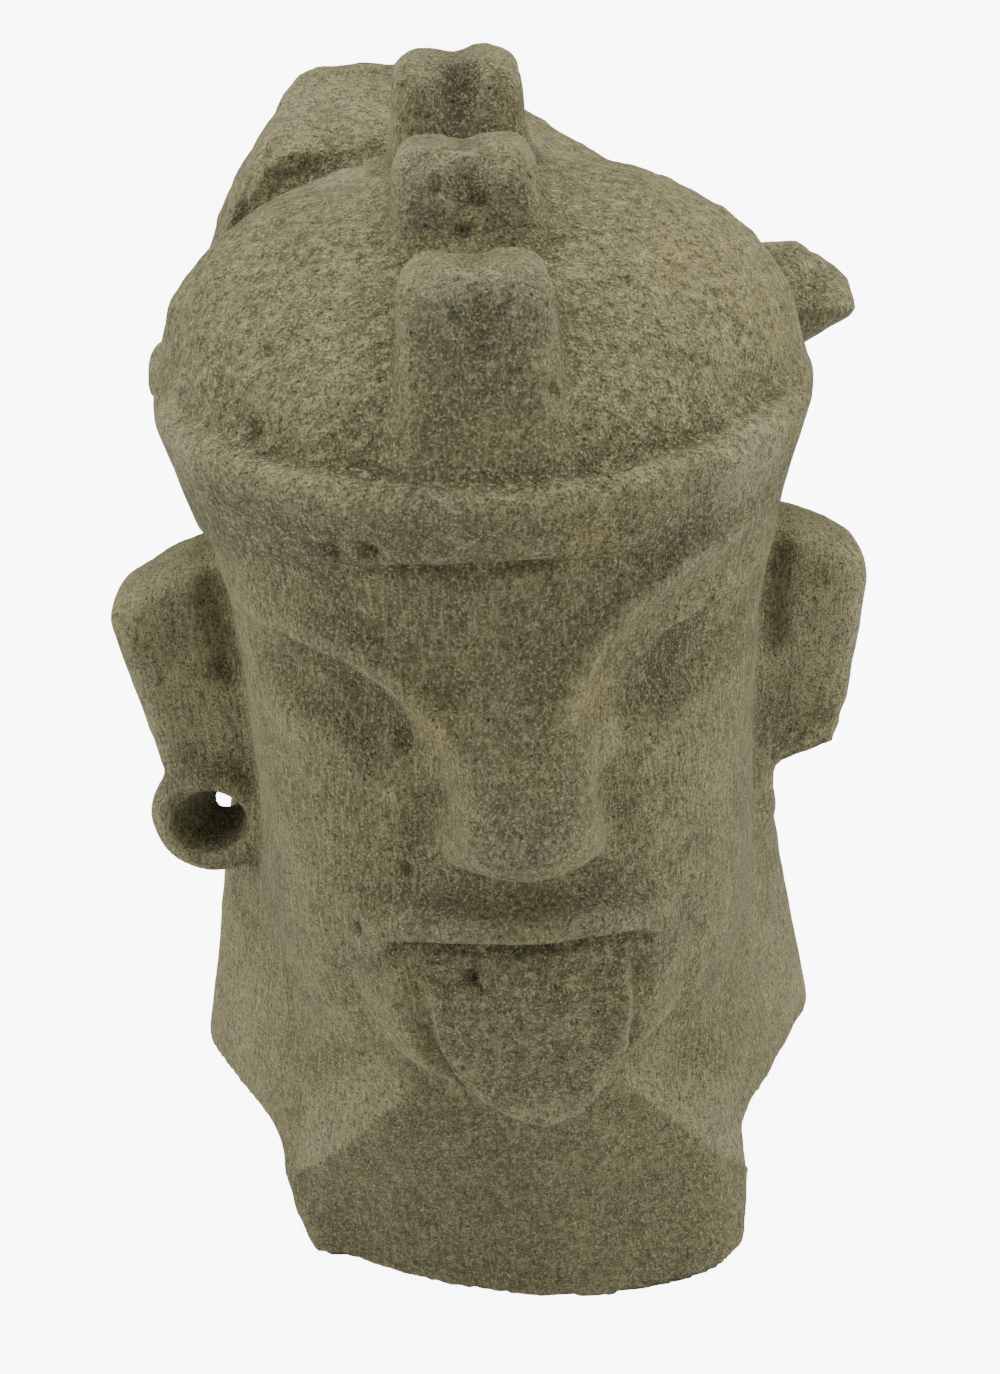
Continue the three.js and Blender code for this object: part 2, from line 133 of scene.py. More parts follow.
# Carving on the face, in the front view: points of a line, each with x, z, half width and height (or depth) in mm.
# Soft ones are rounded, flat and sharp ones have steep sides.
SOFT_LINES = {
    "left brow": [(-72, 258, 5, 1.5), (-54, 259, 6, 4), (-42, 257, 6, 4.5), (-28, 247, 6, 4.5), (-20, 235, 5, 2.5)],
    "right brow": [(66, 281, 5, 2), (48, 279, 5, 4.5), (34, 271, 5, 5), (23, 260, 5, 5), (15, 245, 5, 3)],
    "left pad": [(-39, 154, 6, 3), (-38, 140, 7, 4.2), (-36, 122, 7, 3.4), (-29, 108, 6, 1.5)],
    "right pad": [(41, 152, 6, 3), (40, 138, 7, 4.2), (38, 120, 7, 3.4), (31, 108, 6, 1.5)],
    "left tongue edge": [(-29, 163, 2.2, 1), (-28, 148, 2.2, 2.4), (-27, 134, 2.2, 2.2), (-24, 118, 2.2, 1)],
    "right tongue edge": [(31, 160, 2.2, 1), (31, 145, 2.2, 2.4), (30, 130, 2.2, 2.2), (27, 117, 2.2, 1)],
}
FLAT_LINES = {
    "left lip": [(-47, 146, 4, 0.5), (-46, 157, 5.5, 3), (-42, 167, 6.5, 5), (-29, 172.5, 7, 6), (-3, 171.5, 6.5, 6)],
    "right lip": [(-3, 171.5, 6.5, 6), (23, 171.5, 7, 6), (40, 167, 6.5, 5), (45, 156, 5.5, 3), (47, 143, 4, 0.5)],
}
SOFT_HOLLOWS = {
    "left eye": [(-70, 246, 8, 3), (-58, 242, 11, 6.5), (-47, 237, 12, 8.5), (-37, 231, 10, 8.5), (-31, 228, 6, 6)],
    "right eye": [(68, 250, 8, 3), (56, 245, 11, 6), (46, 241, 12, 7.5), (38, 235, 10, 7.5), (34, 231, 6, 5.5)],
    "right lid": [(62, 269, 8, 2), (46, 262, 8, 3.5), (35, 251, 7, 3.5), (29, 242, 5, 2)],
    "beside the nose, left": [(-22, 216, 4, 1), (-26, 204, 5, 2.2), (-28, 195, 5, 2), (-27, 186, 5, 0.5)],
    "beside the nose, right": [(26, 216, 4, 1), (29, 204, 5, 2.2), (31, 195, 5, 2), (30, 186, 5, 0.5)],
    "left jaw": [(-51, 152, 4, 0.5), (-51, 136, 4, 1.5), (-47, 120, 4, 1.8), (-38, 105, 4, 1.8), (-28, 97, 4, 1)],
    "right jaw": [(53, 150, 4, 0.5), (52, 132, 4, 1.5), (48, 115, 4, 1.8), (38, 103, 4, 1.8), (29, 97, 4, 1)],
    "under the nose": [(-17, 187, 5, 1), (2, 184, 6, 2), (20, 187, 5, 1)],
}
SHARP_HOLLOWS = {
    "left eye": [(-69, 251, 4, 3), (-58, 250, 6, 7), (-47, 246, 7.5, 9.5), (-38, 239, 8, 10), (-31, 232, 5, 7)],
    "right eye": [(64, 255, 4, 3), (56, 252, 6, 6), (46, 248, 7.5, 8.5), (38, 240, 8, 9), (33, 235, 5, 6.5)],
    "mouth": [(-37, 163, 2, 1.5), (-15, 163, 2.4, 3.2), (0, 162.5, 2.6, 4.2), (17, 163, 2.4, 3.2), (33, 163, 2, 1.5)],
    "round the tongue": [
        (-31, 131, 2.2, 0.6), (-27, 114, 2.6, 1.6), (-20, 102, 2.8, 2.6), (-9, 94, 2.8, 3),
        (5, 90.5, 2.8, 3), (20, 96, 2.8, 2.6), (29, 109, 2.6, 1.6), (33, 128, 2.2, 0.6),
    ],
    "under the band": [
        (-78, 297, 2.4, 1.5), (-62, 294, 2.6, 2.5), (-45, 288, 2.8, 3), (-10, 284, 2.6, 2.8), (35, 289, 2.6, 2.6),
        (60, 296, 2.4, 1.6),
    ],
}
STEEP, ROUNDED = 5, 2


def join(a, b, soft):
    """Smooth union of two distances."""
    near = np.maximum(soft - np.abs(a - b), 0) / soft
    return np.minimum(a, b) - near * near * soft / 4


def common(a, b, soft):
    return -join(-a, -b, soft)


def cut(a, b, soft):
    return common(a, -b, soft)


def smoothstep(low, high, value):
    t = np.clip((value - low) / (high - low), 0, 1)
    return t * t * (3 - 2 * t)


def between(z, column):
    """A skull size at height z, averaged over a short height so that the profile has no kink."""
    levels, values = SKULL[:, 0], SKULL[:, column]
    return (np.interp(z - EASE, levels, values) + 2 * np.interp(z, levels, values)
            + np.interp(z + EASE, levels, values)) / 4


def outline(x, y, half, front, back, power):
    """Distance to a rounded plan outline with its own depth in front and behind."""
    deep = np.where(y < 0, front, back)
    k = (np.abs(x / half) ** power + np.abs(y / deep) ** power) ** (1 / power)
    out = np.hypot(x, y) + 1e-3
    return out - out / (k + 1e-5)


def block(dx, dy, dz, hx, hy, hz, rounding):
    """Distance to a box with rounded edges: offsets from its middle and its half sizes."""
    qx, qy, qz = np.abs(dx) - hx + rounding, np.abs(dy) - hy + rounding, np.abs(dz) - hz + rounding
    outside = np.sqrt(np.maximum(qx, 0) ** 2 + np.maximum(qy, 0) ** 2 + np.maximum(qz, 0) ** 2)
    return outside + np.minimum(np.maximum(np.maximum(qx, qy), qz), 0) - rounding


def rod(x, y, z, a, b, ra, rb):
    """Distance to a rod whose radius changes evenly from one end to the other."""
    a, b = np.array(a, float), np.array(b, float)
    d = b - a
    t = np.clip(((x - a[0]) * d[0] + (y - a[1]) * d[1] + (z - a[2]) * d[2]) / d.dot(d), 0, 1)
    return ball(x - t * d[0], y - t * d[1], z - t * d[2], a, ra + t * (rb - ra))


def ball(x, y, z, middle, radius):
    return np.sqrt((x - middle[0]) ** 2 + (y - middle[1]) ** 2 + (z - middle[2]) ** 2) - radius


def carved_line(x, z, points, square):
    """Height of a carved line in the front view. A square line has a flat floor and steep sides."""
    best = np.full(np.shape(x), np.inf)
    height = np.zeros(np.shape(x))
    for (x0, z0, w0, h0), (x1, z1, w1, h1) in zip(points, points[1:]):
        dx, dz = x1 - x0, z1 - z0
        t = np.clip(((x - x0) * dx + (z - z0) * dz) / (dx * dx + dz * dz), 0, 1)
        far = np.hypot(x - x0 - t * dx, z - z0 - t * dz) / (w0 + t * (w1 - w0))
        nearer = far < best
        best = np.where(nearer, far, best)
        height = np.where(nearer, h0 + t * (h1 - h0), height)
    return height * np.exp(-best ** (STEEP if square else ROUNDED))


def skull(x, y, z):
    side = outline(x, y, between(z, 1), between(z, 2), between(z, 3), SKULL_POWER)
    return common(common(side, z - SKULL_TOP, SLIGHT), SKULL[0, 0] - z, SLIGHT)


def headband(x, y, z):
    x = x - CAP_X
    down = (BAND["top"] - z) * BAND["taper"]
    side = outline(x, y, BAND["half"] - down, BAND["front"] - down, BAND["back"] - down, BAND["power"])
    edge = np.maximum(BAND_EDGE["at_middle"] - BAND_EDGE["slope"] * y, BAND_EDGE["lowest"])
    hoop = common(common(side, z - BAND["top"], BAND["round"]), edge - z, 1.5)
    ring = outline(x, y, RIM_GROOVE["half"], RIM_GROOVE["front"], RIM_GROOVE["back"], RIM_GROOVE["plan_power"])
    return cut(hoop, np.hypot(ring, z - RIM_GROOVE["z"]) - RIM_GROOVE["radius"], SLIGHT)


def crown(x, y, z):
    x = x - CAP_X
    ahead = (np.maximum(-y, 0) / (np.hypot(x, y) + 1)) ** 2
    power = CROWN["side_power"] + (CROWN["front_power"] - CROWN["side_power"]) * ahead
    plan = CROWN["plan_power"]
    deep = np.where(y < 0, CROWN["front"], CROWN["back"])
    side = (np.abs(x / CROWN["half"]) ** plan + np.abs(y / deep) ** plan) ** (power / plan)
    up = np.maximum(z - CROWN["foot"], 0)
    k = (side + (up / CROWN["height"]) ** power) ** (1 / power)
    out = np.sqrt(x * x + y * y + up * up) + 1e-3
    return common(out - out / (k + 1e-5), CROWN["low"] - z, SLIGHT)


def flap_front(x, y, z):
    dx = np.abs(x) - np.where(x < 0, FLAP["left"], FLAP["right"])
    return FLAP["reach"] * dx - FLAP["forward"] * (y - FLAP["y"]) + FLAP["up"] * (z - FLAP["z"])


def flaps(x, y, z):
    """The sides of the hair: sharp outwards at half depth, with a flat sole above the base."""
    rounding = FLAP_ENDS["round"]
    dx = np.abs(x) - np.where(x < 0, FLAP["left"], FLAP["right"])
    rear = FLAP["reach"] * dx + FLAP["rear"] * (y - FLAP["y"]) + FLAP["up"] * (z - FLAP["z"])
    left, right = SOLE["left"] + SOLE["left_spread"] * z, SOLE["right"] + SOLE["right_spread"] * z
    under = join(SOLE["z"] - z, np.abs(x) - np.where(x < 0, left, right), SOFT)
    ends = common(common(z - FLAP_ENDS["top"], y - FLAP_ENDS["back"], rounding), -y - FLAP_ENDS["front"], rounding)
    return common(common(common(flap_front(x, y, z), rear, rounding), under, SOLE["round"]), ends, rounding)


def above_gable(x, z):
    return z - GABLE["top"] + GABLE["slope"] * np.maximum(np.abs(x - BASE["x"]) - GABLE["flat"], 0)


def base(x, y, z):
    """The block below: its front bulges, is turned a little, and ends in a gable under the tongue."""
    turn = BASE["turn"] * np.maximum(1 - z / BASE["straight_by"], 0)
    dx, dy = x - BASE["x"], y - BASE["y"]
    across = dx * np.cos(turn) - dy * np.sin(turn)
    ahead = -dx * np.sin(turn) - dy * np.cos(turn)
    above = above_gable(x, z)
    lip = GABLE["lip"] * np.exp(-(above / GABLE["lip_width"]) ** 2)
    narrow = TAPER["slope"] * np.minimum(z, TAPER["to"])
    deep = BASE["bulge"] - narrow
    bulge = outline(across, -np.maximum(ahead, 0), BASE["half"] - narrow, deep, deep, BASE["power"])
    front = common(bulge + GABLE["recede"] * np.maximum(above, 0) - lip, -ahead - BASE["bulge"], SLIGHT)
    middle, long = (BASE_REAR["back"] + BASE_REAR["front"]) / 2, (BASE_REAR["back"] - BASE_REAR["front"]) / 2
    rear = block(x - BASE_REAR["x"], y - middle, z, BASE_REAR["half"], long, SKULL[0, 0], BASE_REAR["round"])
    shoulder = flap_front(x, y, z) - np.maximum(RIM["height"] - z, 0) * RIM["spread"]
    return common(common(join(front, rear, SOFT), z - NECK_TOP, SOFT), shoulder, 2)


def tongue(x, y, z):
    low = np.maximum(TONGUE["straight"] - z, 0) / (TONGUE["straight"] - TONGUE["tip"])
    dx = x - TONGUE["x"] - (TONGUE["tip_x"] - TONGUE["x"]) * low
    rim = (np.hypot(dx / TONGUE["half"], low) - 1) * TONGUE["half"]
    bow = TONGUE["bow"] * (dx / TONGUE["half"]) ** 2 + TONGUE["drawn_in"] * smoothstep(*TONGUE_DRAWN_IN, z)
    face_on = common(rim, -y - TONGUE["front"] + bow, TONGUE_EDGE)
    return common(common(face_on, z - TONGUE["top"], SLIGHT), y + TONGUE["root"], SLIGHT)


def nose(x, y, z):
    middle = NOSE["low"][0]
    narrow = middle + (x - middle) / NOSE["wide"]
    ridge = rod(narrow, y, z, NOSE["high"], NOSE["low"], NOSE["high_radius"], NOSE["low_radius"])
    wing = ball(np.abs(x - NOSE["low"][0]), y, z, (WING["x"], WING["y"], WING["z"]), WING["radius"])
    return common(join(ridge, wing, SOFT), NOSE["floor"] - z, SOFT)


def tooth(x, y, z, size):
    below = size["top"] - z
    spread, flare = TOOTH["spread"] * np.maximum(below, 0), TOOTH["flare"] * np.maximum(below, 0)
    half = TOOTH["reach"] / 2
    wide, deep = size["half"] + spread, size["deep"] + flare
    body = block(x - CREST_X, y - size["y"], half - below, wide, deep, half, TOOTH["round"])
    groove = np.hypot(x - CREST_X, z - size["top"] - TOOTH["groove_lift"]) - TOOTH["groove"]
    front = size["y"] - size["deep"] - flare
    narrowing = np.clip(1 - below / TOOTH["slit"], 0, 1)
    slit = np.hypot(x - CREST_X, (y - front) * 1.2) - TOOTH["slit_radius"] * narrowing
    return cut(cut(body, groove, SLIGHT), slit, SLIGHT)


def crest(x, y, z):
    top = RIDGE["z0"] + (RIDGE["z1"] - RIDGE["z0"]) * (y - RIDGE["y0"]) / (RIDGE["y1"] - RIDGE["y0"])
    middle, long = (RIDGE["y0"] + RIDGE["y1"]) / 2, (RIDGE["y1"] - RIDGE["y0"]) / 2 + RIDGE["round"]
    half = RIDGE["half"] + RIDGE["spread"] * np.maximum(top - z, 0)
    form = block(x - CREST_X, y - middle, z - top + RIDGE["deep"], half, long, RIDGE["deep"], RIDGE["round"])
    for size in TEETH:
        form = join(form, tooth(x, y, z, size), SLIGHT)
    return form


def slab(x, y, z):
    roof = z - SLAB["top"] - SLAB["rise"] * (y - SLAB["front"])
    slant = (SHOULDER["slope"] * (SHOULDER["x"] - x) + z - SHOULDER["z"]) / math.hypot(SHOULDER["slope"], 1)
    broken = (SLAB_BREAK["slope"] * (x - SLAB_BREAK["x"]) + z - SLAB_BREAK["z"]) / math.hypot(SLAB_BREAK["slope"], 1)
    rounding = SLAB["round"]
    right = common(x - SLAB["right"], broken, rounding)
    sides = common(common(SLAB["left"] - x, slant, SHOULDER["round"]), right, rounding)
    depth = np.abs(y - (SLAB["front"] + SLAB["back"]) / 2) - (SLAB["back"] - SLAB["front"]) / 2
    return common(common(sides, depth, rounding), common(roof, SLAB["bottom"] - z, rounding), rounding)


def knob(x, y, z, size):
    """A wedge that grows higher from its tip towards the head, with an edge along its front."""
    inward = size["tip"] - size["side"] * x
    high = np.clip(size["at_tip"] + size["wedge"] * inward, 1, size["highest"])
    up, along = np.abs(z - size["z"]) / high, np.abs(y - size["y"]) / size["half_depth"]
    section = ((up ** KNOB_POWER + along ** KNOB_POWER) ** (1 / KNOB_POWER) - 1) * high
    return common(section, np.abs(inward - KNOB_LONG / 2) - KNOB_LONG / 2, SOFT)


def ear(x, y, z, size):
    out = size["side"] * x
    wide = (size["outer"] - EAR["inner"]) / 2
    dx = out - EAR["inner"] - wide - size["lean"] * (z - EAR["upright_at"])
    dy, dz = y - (EAR["front"] + EAR["back"]) / 2, z - (EAR["top"] + size["bottom"]) / 2
    body = block(dx, dy, dz, wide, (EAR["back"] - EAR["front"]) / 2, (EAR["top"] - size["bottom"]) / 2, EAR["round"])
    roof = (EAR["slope"] * (out - EAR["slope_from"]) + z - EAR["top"]) / math.hypot(EAR["slope"], 1)
    high, low = [(EAR_HOLLOW["out"], EAR_HOLLOW["y"], EAR_HOLLOW[end]) for end in ("high", "low")]
    hollow = rod(out, y, z, high, low, EAR_HOLLOW["radius"], EAR_HOLLOW["radius"])
    sole = (size["bottom"] - z + size["heel"] * (out - EAR["inner"])) / math.hypot(size["heel"], 1)
    return cut(common(common(body, roof, EAR["round"]), sole, SLIGHT), hollow, SLIGHT)


def spool(x, y, z):
    radial = np.hypot(x - SPOOL["x"], z - SPOOL["z"]) - SPOOL["radius"]
    depth = np.abs(y - (SPOOL["front"] + SPOOL["back"]) / 2) - (SPOOL["back"] - SPOOL["front"]) / 2
    return common(radial, depth, SPOOL["round"])


def funnel(x, y, z):
    neck = SPOOL["back"] - FUNNEL["wall"]
    along = np.clip((y - SPOOL["front"]) / (neck - SPOOL["front"]), -0.6, 1)
    radius = FUNNEL["mouth"] + (FUNNEL["throat"] - FUNNEL["mouth"]) * along
    middle_x = FUNNEL["mouth_x"] + (FUNNEL["throat_x"] - FUNNEL["mouth_x"]) * along
    middle_z = FUNNEL["mouth_z"] + (FUNNEL["throat_z"] - FUNNEL["mouth_z"]) * along
    return np.hypot(x - middle_x, z - middle_z) - radius


def stump(x, y, z):
    wide, deep, high = STUMP["half"], STUMP["deep"], STUMP["high"]
    scaled = (x - STUMP["x"]) / wide, (y - STUMP["y"]) / deep, (z - STUMP["z"]) / high
    return ball(*scaled, (0, 0, 0), 1) * min(wide, deep, high)


def carving(x, y, z):
    """Height of the carving on the front of the face, in millimetres, negative where it is sunk."""
    def deepest(groups):
        heights = np.zeros(np.shape(x))
        for lines, square in groups:
            for points in lines.values():
                heights = np.maximum(heights, carved_line(x, z, points, square))
        return heights

    raised = deepest([(SOFT_LINES, False), (FLAT_LINES, True)])
    sunk = deepest([(SOFT_HOLLOWS, False), (SHARP_HOLLOWS, True)])
    return (raised - sunk) * np.clip((-y - 25) / 20, 0, 1)


def head(x, y, z):
    """Distance to the whole head."""
    form = join(join(skull(x, y, z), flaps(x, y, z), FLAP_ENDS["round"]), base(x, y, z), SOFT)
    form = join(form, nose(x, y, z), NOSE_FOOT)
    form = join(form, tongue(x, y, z), SLIGHT)
    form = form - carving(x, y, z)
    form = join(form, headband(x, y, z), 1.5)
    form = join(form, crown(x, y, z), SLIGHT)
    form = join(form, crest(x, y, z), SLIGHT)
    form = join(form, slab(x, y, z), SLIGHT)
    for size in KNOBS:
        form = join(form, knob(x, y, z, size), SOFT)
    for size in EARS:
        form = join(form, ear(x, y, z, size), SOFT)
    form = join(form, stump(x, y, z), SLIGHT)
    form = cut(join(form, spool(x, y, z), SLIGHT), funnel(x, y, z), 1.5)
    return common(form - FULLER, -z, FLOOR_EDGE)


# Small round pits: middle, radius and depth.
PITS = [
    ((-15, -93.5, 153), 2.4, 3.6), ((-49, -81, 165), 2.0, 3.2), ((-32, -85, 188), 1.9, 2.2), ((-34.5, -88, 289), 2.8, 3.4),
    ((-44, -84, 288.5), 2.2, 2.4), ((-30, -78, 228), 3.0, 1.8), ((15, -82, 328), 2.2, 3.0), ((-2, -38.5, 362), 2.4, 2.4),
    ((-12, -37, 366), 1.9, 2.0), ((-6, -40, 355), 2.0, 2.2), ((-58, -53, 332), 2.2, 1.8), ((86, -23, 157), 4.0, 3.0),
    ((-63, -62, 314), 2.6, 2.0), ((-80, -40, 305), 2.4, 2.2),
]

# Patches of another tone: middle, radius and strength.
PATCHES = {
    "grey patch": [
        (-13, -76, 350, 13, 1), (6, -76, 348, 13, 0.9), (-4, -82, 335, 16, 0.6), (-13, -38, 366, 11, 0.8),
        (6, -38, 364, 11, 0.7), (-4, 2, 378, 15, 0.7), (1, -108, 214, 15, 0.9), (-12, -96, 205, 10, 0.7),
        (-2, -97, 245, 6, 1), (-20, -96, 300, 16, 0.6), (16, -96, 298, 12, 0.5), (-27, -88, 173, 12, 0.7),
        (27, -88, 174, 13, 0.7), (-38, -74, 236, 17, 0.5), (40, -72, 243, 15, 0.4), (6, -97, 108, 16, 0.4),
        (45, -76, 156, 12, 0.5), (-45, -76, 158, 11, 0.4), (-62, -60, 62, 14, 0.5), (64, -62, 50, 13, 0.5),
        (-52, -80, 292, 16, 0.6), (-86, -40, 290, 16, 0.5), (52, -80, 292, 16, 0.5), (-105, -16, 178, 14, 0.5),
        (-92, -20, 142, 12, 0.4), (-96, -16, 243, 12, 0.3), (84, -14, 152, 8, 1),
        (112, 40, 300, 20, 0.5), (100, 35, 305, 16, 0.4),
    ],
    "ochre patch": [
        (-20, -84, 238, 11, 0.7), (18, -84, 243, 12, 0.8), (24, -82, 228, 11, 0.7), (3, -96, 190, 13, 0.8),
        (60, -25, 332, 32, 0.6), (70, 10, 330, 28, 0.5), (22, -96, 294, 14, 0.6), (-28, -82, 246, 9, 0.5),
        (-30, -78, 122, 14, 0.4), (38, -76, 118, 13, 0.4), (-40, -30, 335, 20, 0.3),
    ],
    "pale patch and painted light": [
        (66, -66, 301, 16, 0.7), (-86, -40, 302, 20, 0.5), (-30, 20, 352, 26, 0.6), (20, 30, 357, 22, 0.6),
        (26, -85, 227, 9, 0.9), (-24, -86, 222, 8, 0.4), (-50, 66, 366, 30, 0.5), (-100, -10, 75, 40, 0.3),
        (100, -10, 80, 40, 0.4), (100, -15, 215, 30, 0.7), (-100, -15, 205, 26, 0.35), (-4, -72, 352, 7, 0.9), (-4, -30, 371, 7, 0.9),
    ],
}

# Wear. Each unevenness has the size of its lumps, its depth, its stretch upwards, and whether some parts have more.
UNEVEN = [(34, 0.35, 1, False), (15, 0.25, 1, False), (8, 0.4, 1, True), (4.4, 0.35, 1, True), (4, 0.2, 3, False)]
WEAR = dict(
    near=5, edge=(0.12, 0.45), where=(-0.1, 0.6), lump=9, smoothed=0.1, chip_smoothed=0.6, wide=10, chip_depth=1.1,
    plain=0.35, hollow=26, ragged=12,
)
RELIEF = {"tongue": 1.0, "bib": 0.5, "cap": 0.9, "crest": -0.4, "riser": 1.2, "broken ear": 1.8}
COARSE_STONE = {
    "tongue": 1, "bib": 0.5, "cap": 0.95, "crest": -0.6, "riser": 1, "broken ear": 1, "band": 0.55, "nose": 0.4,
}
# Darker tone by part: partly the stone's patina, partly painted shade on faces turned to the front and on the forehead
# under the band.
PATINA_AND_PAINTED_SHADE = {
    "band": 0.6, "left band": 0.5, "bib": 0.6, "tongue": 0.5, "broken ear": 0.4, "lip": 0.6, "eyes": 0.6, "nose": 0.4,
    "forehead": 0.45, "crest": 0.4,
}
# Painted light: the neck slope above the bib, which faces upwards, is made paler.
NECK_PAINTED_LIGHT = 0.6
ON_FLOOR = 0.05

# Meshing.
CELL = 1.96
COARSE = 4
REACH = 12
GRID_ROOM = 6


def grid_axis(low, high):
    count = int(math.ceil((high - low) / (CELL * COARSE))) * COARSE
    return low + CELL * np.arange(count + 1)


def sampled(axes):
    """The head's distance on the grid: everywhere at coarse steps, and finely near the surface."""
    coarse = [axis[::COARSE] for axis in axes]
    rough = head(*np.meshgrid(*coarse, indexing="ij"))
    near = np.abs(rough) < REACH + CELL * COARSE
    block_near = np.zeros([n - 1 for n in rough.shape], bool)
    for i in (0, 1):
        for j in (0, 1):
            for k in (0, 1):
                block_near |= near[i:near.shape[0] - 1 + i, j:near.shape[1] - 1 + j, k:near.shape[2] - 1 + k]
    fine = np.zeros([len(axis) for axis in axes], bool)
    field = np.empty([len(axis) for axis in axes])
    spread = rough[:-1, :-1, :-1]
    for i in range(COARSE + 1):
        for j in range(COARSE + 1):
            for k in range(COARSE + 1):
                span = tuple(slice(o, o + COARSE * (n - 1) + 1 if o == COARSE else o + COARSE * (n - 1), COARSE)
                             for o, n in zip((i, j, k), rough.shape))
                fine[span] |= block_near
                field[span] = spread
    where = np.nonzero(fine)
    field[where] = head(*(axis[index] for axis, index in zip(axes, where)))
    return field


def surface_net(axes, field):
    """Points and four-sided faces of the surface where the field is zero."""
    inside = field < 0
    corners = [(i, j, k) for i in (0, 1) for j in (0, 1) for k in (0, 1)]
    count = np.zeros([n - 1 for n in field.shape], np.int8)
    for i, j, k in corners:
        count += inside[i:inside.shape[0] - 1 + i, j:inside.shape[1] - 1 + j, k:inside.shape[2] - 1 + k]
    cells = np.stack(np.nonzero((count > 0) & (count < 8)), axis=1)
    number = np.full(count.shape, -1, np.int64)
    number[tuple(cells.T)] = np.arange(len(cells))

    total, crossings = np.zeros((len(cells), 3)), np.zeros(len(cells))
    for a in corners:
        for side in range(3):
            if a[side]:
                continue
            b = tuple(1 if n == side else a[n] for n in range(3))
            at_a, at_b = cells + a, cells + b
            value_a, value_b = field[tuple(at_a.T)], field[tuple(at_b.T)]
            crossed = (value_a < 0) != (value_b < 0)
            t = np.where(crossed, value_a / np.where(crossed, value_a - value_b, 1), 0)
            place = np.stack([axes[n][at_a[:, n]] for n in range(3)], axis=1)
            place[:, side] += t * CELL
            total += place * crossed[:, None]
            crossings += crossed
    points = total / crossings[:, None]

    faces = []
    for side in range(3):
        u, v = (side + 1) % 3, (side + 2) % 3
        ahead = [slice(1, -1)] * 3
        ahead[side] = slice(1, None)
        behind = [slice(1, -1)] * 3
        behind[side] = slice(0, -1)
        first, second = inside[tuple(behind)], inside[tuple(ahead)]
        for outwards in (True, False):
            edge = (first & ~second) if outwards else (~first & second)
            at = np.stack(np.nonzero(edge), axis=1)
            at[:, u] += 1
            at[:, v] += 1
            ring = []
            for du, dv in ((-1, -1), (0, -1), (0, 0), (-1, 0)):
                cell = at.copy()
                cell[:, u] += du
                cell[:, v] += dv
                ring.append(number[tuple(cell.T)])
            quad = np.stack(ring if outwards else ring[::-1], axis=1)
            faces.append(quad)
    return points, np.concatenate(faces)


def noise(points, size, seed, stretch=(1, 1, 1)):
    """Smooth noise between -1 and 1 with lumps about the given size in mm."""
    lattice = np.random.default_rng(seed).uniform(-1, 1, (64, 64, 64))
    at = points / (np.array(stretch) * size) + seed * 7.3
    cell = np.floor(at).astype(int)
    part = at - cell
    part = part * part * (3 - 2 * part)
    value = np.zeros(len(points))
    for i in (0, 1):
        for j in (0, 1):
            for k in (0, 1):
                weight = np.abs(1 - i - part[:, 0]) * np.abs(1 - j - part[:, 1]) * np.abs(1 - k - part[:, 2])
                value += weight * lattice[(cell[:, 0] + i) % 64, (cell[:, 1] + j) % 64, (cell[:, 2] + k) % 64]
    return value


def neighbour_mean(values, pairs, degree, rounds):
    """Values averaged with those of the neighbouring points, a number of times."""
    for _ in range(rounds):
        total = np.zeros_like(values)
        for column in range(values.shape[1]):
            total[:, column] = np.bincount(pairs[:, 0], values[pairs[:, 1], column], len(values))
        values = (values + total / degree[:, None]) / 2
    return values


def normals_of(points, faces):
    a, b, c, d = (points[faces[:, i]] for i in range(4))
    area = np.cross(c - a, d - b)
    total = np.zeros_like(points)
    for column in range(3):
        for i in range(4):
            total[:, column] += np.bincount(faces[:, i], area[:, column], len(points))
    return total / np.maximum(np.linalg.norm(total, axis=1), 1e-9)[:, None]


def regions(points):
    """How far each point belongs to a part of the surface that has its own finish, from 0 to 1."""
    x, y, z = points.T
    above = above_gable(x, z)
    in_front = smoothstep(-50, -58, y)

    def along(lines, fullest):
        heights = [carved_line(x, z, points, True) for points in lines]
        return np.clip(np.maximum(*heights) / fullest, 0, 1) * in_front

    return {
        "lip": along(FLAT_LINES.values(), 4),
        "eyes": along([SHARP_HOLLOWS["left eye"], SHARP_HOLLOWS["right eye"]], 7),
        "nose": smoothstep(4, 1.5, nose(x, y, z)) * in_front,
        "forehead": in_front * smoothstep(236, 250, z) * smoothstep(290, 286, z) * smoothstep(60, 40, np.abs(x)),
        "left band": smoothstep(3.5, 1, headband(x, y, z)) * smoothstep(309, 303, z) * smoothstep(-20, -60, x),
        "tongue": smoothstep(4, 1.5, tongue(x, y, z)) * smoothstep(-80, -86, y) * smoothstep(92, 96, z),
        "bib": in_front * smoothstep(1.5, -1.5, above),
        "neck": in_front * smoothstep(0, 4, above) * smoothstep(34, 20, above) * smoothstep(112, 98, z),
        "cap": smoothstep(302, 309, z),
        "crest": smoothstep(3, 1, crest(x, y, z)),
        "band": smoothstep(3.5, 1, headband(x, y, z)) * smoothstep(309, 303, z),
        "riser": smoothstep(60, 48, y) * smoothstep(36, 42, y) * smoothstep(325, 332, z) * smoothstep(10, -20, x),
        "broken ear": smoothstep(84, 92, x) * smoothstep(190, 178, z) * smoothstep(150, 158, z) * smoothstep(30, 20, y),
    }


def added(parts, shares):
    return sum(share * parts[name] for name, share in shares.items())


